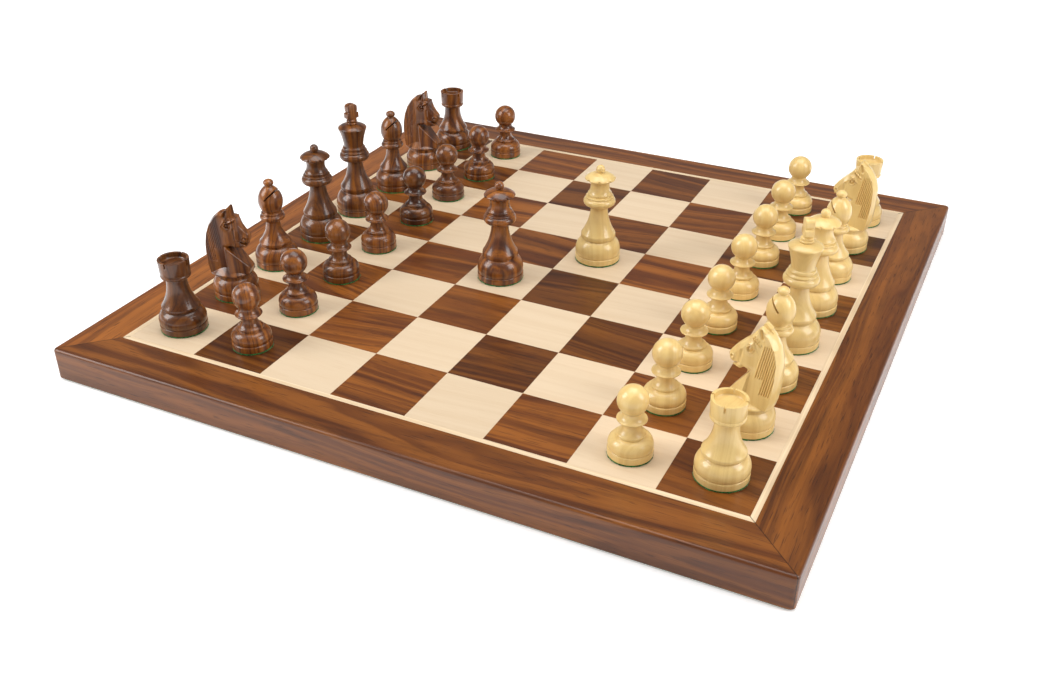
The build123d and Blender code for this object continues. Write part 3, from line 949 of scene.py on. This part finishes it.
horses = {
    "pale": {
        "back": [
            (-15.6, 21.0),
            (-17.0, 25.5),
            (-18.0, 34.0),
            (-18.4, 44.0),
            (-18.1, 54.0),
            (-15.6, 62.5),
            (-11.2, 69.2),
            (-7.6, 72.2),
        ],
        "ear": [(-7.6, 72.2), (-3.6, 75.4), (-2.4, 74.8), (-1.2, 69.4), (1.4, 69.2), (2.0, 68.4)],
        "nose": [(2.0, 68.4), (6.0, 63.4), (10.6, 58.8), (14.6, 54.0), (16.6, 49.6), (15.2, 45.4)],
        "jaw": [
            (15.2, 45.4),
            (9.4, 46.8),
            (9.4, 46.2),
            (13.6, 43.9),
            (13.2, 42.2),
            (9.0, 41.8),
            (4.4, 45.6),
            (0.0, 44.2),
        ],
        "chest": [(0.0, 44.2), (13.6, 25.2), (14.6, 23.4), (14.2, 21.0)],
        "forelock": [(0.8, 68.2), (-4.6, 63.8)],
        "notches": (0.2, 0.45, 0.7),
        "ear_hollow": [(-3.9, 73.2), (-5.4, 68.6)],
        "brow": 1.3,
        "groove": 0.75,
        "skirt": (0.0, 15.6, 13.2, 23.4),
    },
    "dark": {
        "back": [
            (-16.2, 21.0),
            (-17.8, 27.0),
            (-18.4, 36.0),
            (-18.2, 43.5),
            (-17.0, 51.0),
            (-14.2, 58.2),
            (-9.8, 64.4),
            (-5.2, 68.2),
        ],
        "ear": [(-5.2, 68.2), (-2.0, 67.8), (2.4, 72.4), (3.4, 71.8), (4.0, 65.2), (7.6, 65.2), (8.4, 64.2)],
        "nose": [(8.4, 64.2), (10.0, 60.2), (13.2, 55.6), (16.4, 52.4), (17.0, 49.4), (15.6, 45.4)],
        "jaw": [
            (15.6, 45.4),
            (10.4, 46.4),
            (10.4, 45.8),
            (14.4, 43.4),
            (13.8, 41.6),
            (9.4, 40.7),
            (4.8, 43.2),
            (-0.6, 42.4),
        ],
        "chest": [(-0.6, 42.4), (14.8, 26.4), (15.6, 24.6), (14.8, 21.0)],
        "forelock": [(7.8, 64.2), (3.2, 61.9)],
        "notches": (),
        "ear_hollow": [(2.0, 70.4), (0.2, 66.0)],
        "brow": 0.6,
        "groove": 0.38,
        "skirt": (-1.4, 16.4, 13.6, 27.5),
    },
}


def horse_loop(horse):
    runs = (
        smooth_run(horse["back"]),
        straight_run(ease_corners(horse["ear"])),
        smooth_run(horse["nose"]),
        straight_run(ease_corners(horse["jaw"])),
        straight_run(horse["chest"]),
        straight_run([horse["chest"][-1], horse["back"][0]]),
    )
    return [point for run in runs for point in run[1:]]


print("outlines of", {name: len(horse_loop(horse)) for name, horse in horses.items()}, "points")

# %% [markdown]
# ## The knight, part two: his relief
#
# How far each face stands from the middle is a height that depends on the place on the slab. `relief`
# adds it up the way a carver takes it down: the slab narrows towards the ears, the face narrows to the
# muzzle, the chest is cut to a wedge, the back is crowned, and then come the mane grooves, the ringed
# eye with its brow, the ear hollow, the forelock and the nostril.

# %% Carve the relief
slab_low, slab_high = (21.0, 8.9), (76.5, 5.4)
head_plan = [(4.0, 9.2), (10.5, 5.4), (18.0, 4.0)]
mane_step, mane_end, mane_crest = 41.0, 30.5, 64.8
mane_front, mane_lean, mane_pitch, mane_grooves, front_grooves = -3.6, math.radians(8.5), 1.42, 9, 4
eye, nostril = (1.7, 59.0), (13.8, 49.2)
eye_socket, eye_ring, eye_groove, eyeball = 5.0, 2.35, 1.55, 1.1
brow_corners = [(3.5, 63.2), (-0.3, 64.6), (-3.3, 58.4)]
cheek_line = ((6.8, 56.4), (7.6, 48.6))
neck_low, neck_high = 44.0, 68.0
rim_ease, rim_ease_low = 0.75, 21.5


def segment_distance(u, z, a, b):
    ab = np.array(b, float) - np.array(a, float)
    t = np.clip(((u - a[0]) * ab[0] + (z - a[1]) * ab[1]) / (ab @ ab), 0, 1)
    return np.hypot(u - a[0] - t * ab[0], z - a[1] - t * ab[1])


def run_distance(u, z, run):
    """Distance to the nearest stretch of an open run of points."""
    best = np.full(u.shape, 1e9)
    for a, b in zip(run, run[1:]):
        if math.dist(a, b) > 1e-6:
            best = np.minimum(best, segment_distance(u, z, a, b))
    return best


def bump_of(distance, reach):
    """1 at the middle and 0 past reach, smooth all the way."""
    t = np.clip(1 - distance / reach, 0, 1)
    return t * t * (3 - 2 * t)


def behind_mane_front(u, z):
    """How far a point lies behind the mane's front line, square to the grooves."""
    return (mane_front - u) * math.cos(mane_lean) - (z - mane_step) * math.sin(mane_lean)


print("mane of", mane_grooves, "grooves, pitch", mane_pitch, "mm")

# %% [markdown]
# The body of the relief comes first: slab, muzzle, chest and crowned back. The chest is a broad plane
# that slopes away forwards and upwards. Its back edge runs down from the throat, and the flank flares
# outwards to meet it.


# %% Rough out the horse
chest_out, chest_per_u, chest_per_z = 17.64, 0.507, 0.2133
chest_edge_lean, flank_flare = 0.14, 1.1
crown_edge, crown_rise, crown_reach = 2.8, 6.4, 1.9


def chest_half(u, z):
    return chest_out - chest_per_u * u - chest_per_z * z


def rough_half(u, z, horse):
    half = np.interp(z, [slab_low[0], slab_high[0]], [slab_low[1], slab_high[1]])
    head = np.interp(u, [p[0] for p in head_plan], [p[1] for p in head_plan])
    throat_u, throat_z = horse["chest"][0]
    below = throat_z - z
    edge = throat_u + np.maximum(below, 0) * chest_edge_lean
    flank = np.maximum(half, chest_half(edge, z) - (edge - u) * flank_flare)
    half = np.where(below > 0, np.where(u > edge, chest_half(u, z), flank), np.minimum(half, head))
    back = horse["back"]
    back_line = np.interp(z, [p[1] for p in back], [p[0] for p in back])
    behind = u - back_line
    crown = crown_edge + crown_rise * np.clip(behind / crown_reach, 0, 1) ** 0.85
    crowned = np.minimum(half, crown * half / slab_low[1])
    return np.where((z < back[-1][1]) & (behind < 3), crowned, half), behind


print("roughing ready")

# %% [markdown]
# Then the knife work, which belongs to the head: grooves, eye, brow, ear, forelock, cheek and mouth.


# %% Carve the face and the mane
def relief(u, z, from_edge, horse):
    half, behind = rough_half(u, z, horse)
    across = behind_mane_front(u, z)
    number = np.floor(across / mane_pitch)
    middle = (number + 0.5) * mane_pitch
    low_end = np.where(number < front_grooves, mane_step, mane_end)
    high_end = mane_crest - 1.1 * np.maximum(number - 3, 0)
    long_enough = np.clip((z - low_end) / 0.7, 0, 1) * np.clip((high_end - z) / 1.2, 0, 1)
    in_mane = (number >= 0) & (number < mane_grooves) & (behind > 1.9)
    half = half - horse["groove"] * bump_of(np.abs(across - middle), 0.50) * long_enough * in_mane
    # The cheek and neck lie a little below the mane.
    before_mane = np.clip(-across / 0.6, 0, 1)
    on_neck = np.clip((z - neck_low) / 4, 0, 1) * np.clip((neck_high - z) / 3, 0, 1)
    half = half - 0.40 * before_mane * on_neck

    # The bridge of the nose is bevelled, and so is the lower jaw.
    bridge = run_distance(u, z, horse["nose"])
    half = half - 1.5 * np.clip(1 - bridge / 3.0, 0, 1) ** 0.9
    jaw = run_distance(u, z, horse["jaw"][4:])
    half = half - 0.9 * np.clip(1 - jaw / 2.0, 0, 1)

    # The eye: a sunk socket, a ring, a groove and the eyeball.
    r = np.hypot(u - eye[0], z - eye[1])
    half = half - 0.8 * bump_of(r, eye_socket)
    half = half + 0.75 * bump_of(np.abs(r - eye_ring), 0.55) - 0.5 * bump_of(np.abs(r - eye_groove), 0.45)
    half = half + 0.8 * bump_of(r, eyeball)
    # The brow stands up as a wedge behind the eye.
    wedge = np.full(u.shape, 1e9)
    for a, b in zip(brow_corners, brow_corners[1:] + brow_corners[:1]):
        aside = (b[0] - a[0]) * (z - a[1]) - (b[1] - a[1]) * (u - a[0])
        wedge = np.minimum(wedge, aside / math.dist(a, b))
    half = half + horse["brow"] * np.clip(wedge / 1.3 + 0.25, 0, 1)

    # The ear is hollowed. The forelock is a notched bar in front of it.
    half = half - 1.7 * bump_of(segment_distance(u, z, *horse["ear_hollow"]), 1.5)
    lock_high, lock_low = (np.array(p) for p in horse["forelock"])
    half = half + 0.9 * bump_of(segment_distance(u, z, lock_high, lock_low), 1.0)
    half = half - 0.7 * bump_of(segment_distance(u, z, lock_high - (0.4, 1.7), lock_low - (0.4, 1.7)), 0.6)
    for t in horse["notches"]:
        notch = lock_high + (lock_low - lock_high) * t
        half = half - 0.7 * bump_of(segment_distance(u, z, notch + (-0.5, 1.2), notch + (0.5, -1.2)), 0.4)

    # Cheek bone, mouth line and nostril.
    half = half - 0.7 * bump_of(segment_distance(u, z, *cheek_line), 1.7)
    mouth = horse["jaw"][1]
    half = half - 0.5 * bump_of(segment_distance(u, z, mouth, (mouth[0] - 2.2, mouth[1] + 1.0)), 0.6)
    from_nostril = np.hypot(u - nostril[0], z - nostril[1])
    half = half - 1.2 * bump_of(from_nostril, 1.2) + 0.5 * bump_of(np.abs(from_nostril - 1.6), 0.9)

    # A knife-eased rim all round.
    inside = np.clip(from_edge, 0, rim_ease)
    ease = rim_ease - np.sqrt(np.maximum(rim_ease**2 - (rim_ease - inside) ** 2, 0))
    ease = ease * np.clip((z - rim_ease_low) / 2.0, 0, 1)
    return np.maximum(half - ease, 0.3)


print("relief ready")

# %% [markdown]
# ## The knight, part three: his mesh
#
# The slab's face is filled with points on a lattice that leans with the mane, so each groove runs along
# a row of points and stays crisp. A constrained Delaunay triangulation joins them to the outline. The
# face is laid on both sides, a rim joins the two, and the cleft between the ears is cut into the rim.

# %% Build the knight's mesh
lattice_across, lattice_along = mane_pitch / 6, 0.32
cleft_slope = 4.2
rim_strips = 12


def lattice():
    lean = math.tan(mane_lean)
    points = []
    z = 20.8
    while z < 76:
        start = mane_front - (z - mane_step) * lean
        for i in range(-140, 140):
            u = start + (i * lattice_across) / math.cos(mane_lean)
            if -18.6 < u < 18.0:
                points.append((u, z))
        z += lattice_along
    return np.array(points)


def inside_outline(points, loop):
    inside = np.zeros(len(points), bool)
    u, z = points[:, 0], points[:, 1]
    for (au, az), (bu, bz) in zip(loop, loop[1:] + loop[:1]):
        crosses = (az > z) != (bz > z)
        with np.errstate(divide="ignore", invalid="ignore"):
            at = au + (z - az) * (bu - au) / (bz - az)
        inside ^= crosses & (u < at)
    return inside


def make_horse(horse):
    loop = horse_loop(horse)
    fill = lattice()
    fill = fill[inside_outline(fill, loop)]
    away = run_distance(fill[:, 0], fill[:, 1], loop + loop[:1])
    fill = fill[away > 0.16]
    flat = [Vector(p) for p in loop] + [Vector(p) for p in fill]
    edges = [(i, (i + 1) % len(loop)) for i in range(len(loop))]
    verts, _, faces, origins, _, _ = geometry.delaunay_2d_cdt(flat, edges, [], 1, 1e-5)
    place = np.array([tuple(v) for v in verts])
    order = {s: k for k, source in enumerate(origins) for s in source if s < len(loop)}
    from_edge = run_distance(place[:, 0], place[:, 1], loop + loop[:1])
    from_edge[sorted(set(order.values()))] = 0.0
    half = relief(place[:, 0], place[:, 1], from_edge, horse)

    shape = bmesh.new()
    left = [shape.verts.new((u * MM, h * MM, z * MM)) for (u, z), h in zip(place, half)]
    right = [shape.verts.new((u * MM, -h * MM, z * MM)) for (u, z), h in zip(place, half)]
    for face in faces:
        shape.faces.new([left[k] for k in face])
        shape.faces.new([right[k] for k in reversed(face)])
    # The rim, with the ear cleft lowered into it.
    ear = horse["ear"]
    tip = max(ear, key=lambda p: p[1])
    cleft_floor = tip[1] - 5.6
    strips = []
    for s in range(len(loop)):
        k = order[s]
        u, z = place[k]
        row = [left[k]]
        for step in range(1, rim_strips):
            y = half[k] * (1 - 2 * step / rim_strips)
            height = min(z, cleft_floor + abs(y) * cleft_slope) if abs(u - tip[0]) < 6.0 and z > 60 else z
            row.append(shape.verts.new((u * MM, y * MM, height * MM)))
        strips.append(row + [right[k]])
    for here, there in zip(strips, strips[1:] + strips[:1]):
        for a, b, c, d in zip(here, here[1:], there[1:], there):
            if len({a, b, c, d}) == 4:
                shape.faces.new((a, b, c, d))
    bmesh.ops.remove_doubles(shape, verts=shape.verts[:], dist=0.004 * MM)
    return shape


print("lattice points", len(lattice()))

# %% [markdown]
# ## The knight, part four: his skirt and his foot
#
# The neck rises from a skirt: a thin upright rim, then a slope up to the flank. It is spun round and
# then pressed narrower across the slab than along it. The turned foot under it stays round.

# %% Finish the knights
knight_base_top = 19.4
skirt_slope_in = 8.8


def make_skirt(middle, half_long, half_wide, top):
    cuts = [
        (half_long - 0.6, knight_base_top),
        (half_long, knight_base_top + 0.5),
        (half_long - 0.3, 20.9),
        (half_long - 0.9, 21.3),
        (skirt_slope_in, top),
        (0.0, top),
    ]
    shape = spin(cuts, knight_base_top + 0.05)
    for vert in shape.verts:
        vert.co.y *= half_wide / half_long
        vert.co.x += middle * MM
    return shape


for tone, horse in horses.items():
    head = joined(make_horse(horse), make_skirt(*horse["skirt"]))
    shapes[tone + "_horse"] = to_mesh(head, tone + "_horse", sharp=42)
    print(tone, "horse faces", len(shapes[tone + "_horse"].polygons))
knight_cuts = foot(foot_radii["knight"], 17.0, 9.6, 13.0, 16.9)
knight_cuts += [(13.0, knight_base_top), (0.0, knight_base_top)]
shapes["knight"] = to_mesh(spin(knight_cuts, pad_thick), "knight")
print("knight base faces", len(shapes["knight"].polygons))

# %% [markdown]
# ## Felt pads
#
# The pad is punched from baize and glued on. Its cut edge is ragged and stands out a hair beyond the
# wood in places, which is why a thin green line shows under every man.


# %% Punch the felt pads
pad_steps, pad_inner, pad_ragged, pad_most = 168, 3.0, 0.16, 0.3


def felt_pad(foot_r):
    shape = bmesh.new()
    rng = np.random.default_rng(7)
    angles = [math.tau * i / pad_steps for i in range(pad_steps)]
    inner = foot_r - pad_inner
    profile = [
        (inner, 0.0),
        (foot_r - 0.45, 0.0),
        (foot_r - 0.02, 0.3),
        (foot_r - 0.05, 0.62),
        (foot_r - 0.4, pad_thick),
        (inner, pad_thick),
    ]
    rings = []
    for radius, height in profile:
        jitter = rng.normal(0, 0.0 if radius == inner else pad_ragged, pad_steps)
        lift = rng.normal(0, 0.05 if 0 < height < pad_thick else 0, pad_steps)
        ring = []
        for angle, out, up in zip(angles, jitter, lift):
            r = (radius + min(out, pad_most)) * MM
            ring.append(shape.verts.new((r * math.cos(angle), r * math.sin(angle), (height + up) * MM)))
        rings.append(ring)
    shape.faces.new(list(reversed(rings[0])))
    shape.faces.new(rings[-1])
    for low, high in zip(rings, rings[1:]):
        for a, b, c, d in zip(low, low[1:] + low[:1], high[1:] + high[:1], high):
            shape.faces.new((a, b, c, d))
    return to_mesh(shape, "felt_pad", sharp=80)


for kind, radius in foot_radii.items():
    shapes[kind + "_pad"] = felt_pad(radius)
print("pads", sorted(k for k in shapes if k.endswith("_pad")))

# %% [markdown]
# ## Standing the men on the board
#
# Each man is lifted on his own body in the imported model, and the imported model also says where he
# stands, so his place is read from there. Only the way he faces is written here, in degrees from the
# board's long edge, because people set men down a little askew.

# %% Stand the men
men = {
    "white_rook_a": ("rook", 57),
    "white_knight_b": ("knight", 80),
    "white_bishop_c": ("bishop", 94),
    "white_king": ("king", 116),
    "white_queen": ("queen", 90),
    "white_bishop_f": ("bishop", 84),
    "white_knight_g": ("knight", 85),
    "white_rook_h": ("rook", 44),
    "white_queen_spare": ("queen", 62),
    "black_rook_a": ("rook", -28),
    "black_knight_b": ("knight", -76),
    "black_bishop_c": ("bishop", -86),
    "black_queen": ("queen", -80),
    "black_king": ("king", -113),
    "black_bishop_f": ("bishop", -92),
    "black_knight_g": ("knight", -84),
    "black_rook_h": ("rook", -62),
    "black_queen_spare": ("queen", 12),
}
for colour, turns in (
    ("white", (20, 75, 140, 215, 310, 45, 165, 260)),
    ("black", (130, 20, 250, 80, 300, 170, 35, 220)),
):
    for file_letter, turn in zip("abcdefgh", turns):
        men[f"{colour}_pawn_{file_letter}"] = ("pawn", turn)

finishes = {"white": (boxwood, "boxwood"), "black": (golden_rosewood, "rosewood")}
dressed = {}


def shape_in(kind, material):
    """One mesh for each kind of piece and each wood, shared by all men of that kind."""
    key = (kind, material.name)
    if key not in dressed:
        data = shapes[kind].copy()
        data.name = f"{kind}_{material.name}"
        data.materials.clear()
        data.materials.append(material)
        dressed[key] = data
    return dressed[key]


def stand(name, kind, material, node, body, centre, turn):
    piece = bpy.data.objects.new(name, shape_in(kind, material))
    bpy.context.scene.collection.objects.link(piece)
    piece.location = (centre.x, centre.y, board_top)
    piece.rotation_euler = (0, 0, math.radians(turn))
    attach(piece, body)
    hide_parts(node)
    return piece


for man, (kind, turn) in men.items():
    material, slot = finishes[man.split("_")[0]]
    main_node = man + "_base" if kind == "knight" else man
    low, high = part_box(main_node)
    centre = (low + high) / 2
    stand(man + "_turning", kind, material, main_node, man, centre, turn)
    stand(man + "_pad", kind + "_pad", green_felt, main_node, man, centre, turn)
    if kind == "knight":
        horse_kind = "pale_horse" if man.startswith("white") else "dark_horse"
        stand(man + "_carving", horse_kind, material, man + "_head", man, centre, turn)
    if kind == "king":
        stand(man + "_sawn_cross", "cross", material, man + "_cross", man, centre, turn)
print("men standing:", len(men))

# %% [markdown]
# ## Floor and surroundings
#
# The set is shown on white in a bright room. The floor is a large pale sheet. The room has pale walls
# and a pale ceiling with a dim band between them. The far parts of the board mirror the walls and look
# hazy, and the near parts mirror the band and keep their full colour.


# %% Floor and world
floor_half = 6.0
floor_gap = 0.0002
floor_glow, far_floor_glow = 0.30, 0.75
glow_reach = (0.9, 2.4)


def make_floor():
    data = bpy.data.meshes.new("floor")
    shape = bmesh.new()
    bmesh.ops.create_grid(shape, x_segments=1, y_segments=1, size=floor_half)
    shape.to_mesh(data)
    shape.free()
    floor = bpy.data.objects.new("floor", data)
    bpy.context.scene.collection.objects.link(floor)
    floor.location.z = -floor_gap
    material = bpy.data.materials.new("pale_floor")
    material.use_nodes = True
    shader = material.node_tree.nodes["Principled BSDF"]
    shader.inputs["Base Color"].default_value = (0.93, 0.93, 0.93, 1)
    shader.inputs["Roughness"].default_value = 0.8
    shader.inputs["Specular IOR Level"].default_value = 0.1
    shader.inputs["Emission Color"].default_value = (1, 1, 1, 1)
    tree = material.node_tree
    glow = graded(tree, length_of(tree, own_place(tree)), *glow_reach, floor_glow, far_floor_glow)
    tree.links.new(glow, shader.inputs["Emission Strength"])
    data.materials.append(material)
    return floor


make_floor()
world = bpy.data.worlds.new("bright_room")
bpy.context.scene.world = world
world.use_nodes = True
tree = world.node_tree
direction = wire(tree, "ShaderNodeTexCoord").outputs["Generated"]
height = axes_of(tree, direction)[2]
walls = ramp(tree, height, 0.33, 0.64, 0.36, 0.07)
ceiling = ramp(tree, height, 0.62, 0.95, 0.0, 0.55)
seen = wire(tree, "ShaderNodeLightPath").outputs["Is Camera Ray"]
strength = between_values(tree, seen, calc(tree, "ADD", walls, ceiling), 1.1)
background = tree.nodes["Background"]
background.inputs["Color"].default_value = (1, 1, 1, 1)
tree.links.new(strength, background.inputs["Strength"])
print("world", world.name)

# %% [markdown]
# ## Lights
#
# Three soft boxes: a wide one overhead, one to the left and behind, and one to the right and in front.
# They are large, so shadows stay soft, and they show as broad white shapes in the lacquer.

# %% Soft boxes
soft_boxes = {
    # name: (place in metres, point it faces, width, height, power in watts)
    "overhead": ((0.05, 0.0, 1.25), (0.0, 0.0, 0.0), 1.1, 0.8, 9.0),
    "left_back": ((-0.75, 1.05, 0.85), (0.0, 0.0, 0.03), 0.7, 0.9, 14.0),
    "right_front": ((-0.05, -1.15, 0.75), (0.0, 0.0, 0.03), 0.6, 0.8, 9.0),
}
for name, (place, target, wide, tall, power) in soft_boxes.items():
    lamp = bpy.data.lights.new(name, "AREA")
    lamp.shape = "RECTANGLE"
    lamp.size, lamp.size_y, lamp.energy = wide, tall, power
    lamp_object = bpy.data.objects.new(name, lamp)
    bpy.context.scene.collection.objects.link(lamp_object)
    lamp_object.location = place
    lamp_object.rotation_euler = (Vector(target) - Vector(place)).to_track_quat("-Z", "Y").to_euler()
print("soft boxes", len(soft_boxes))

# %% [markdown]
# ## Camera
#
# The set is seen from above its near corner, past the white rook on the a file, through a lens a
# little longer than normal. The camera's height is counted from the playing surface.

# %% Camera
camera_place = Vector((-0.73507, -0.33124, board_top + 0.41697))
camera_forward = Vector((0.76763, 0.37469, -0.51995))
camera = bpy.data.cameras.new("camera")
camera.lens, camera.sensor_width = 39.14, 36.0
camera.clip_start, camera.clip_end = 0.01, 50
camera_object = bpy.data.objects.new("camera", camera)
bpy.context.scene.collection.objects.link(camera_object)
camera_object.location = camera_place
camera_object.rotation_euler = camera_forward.to_track_quat("-Z", "Y").to_euler()
bpy.context.scene.camera = camera_object
bpy.context.scene.view_settings.view_transform = "Standard"
print("camera lens", camera.lens, "mm")
